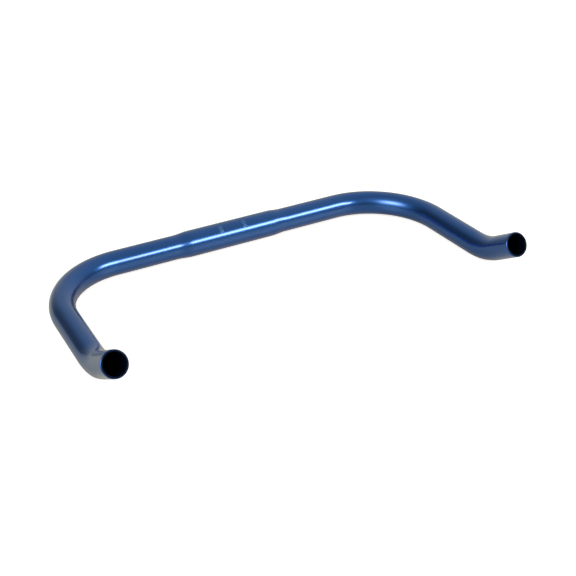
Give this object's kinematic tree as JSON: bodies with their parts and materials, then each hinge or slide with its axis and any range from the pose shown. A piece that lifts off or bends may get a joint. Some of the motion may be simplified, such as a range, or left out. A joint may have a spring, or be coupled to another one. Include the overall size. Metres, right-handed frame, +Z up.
{
  "type": "bicycle bullhorn handlebar",
  "caption": "Blue anodised aluminium bullhorn handlebar: one tube with a wider stem clamp zone, bent forward on each side, with turned-up open ends.",
  "frame": {"origin": "middle of the stem clamp zone, on the tube's axis", "axes": "+X along the clamp zone to one side, horns run towards -Y, +Z up with the bar lying on a level surface"},
  "size_m": [0.4276, 0.213, 0.0467],
  "materials": {
    "blue_anodised_aluminium": "polished and anodised translucent blue, glossy, with darker blue inside the bore"
  },
  "bodies": {
    "root": {"handlebar_tube": "blue_anodised_aluminium"}
  },
  "joints": []
}
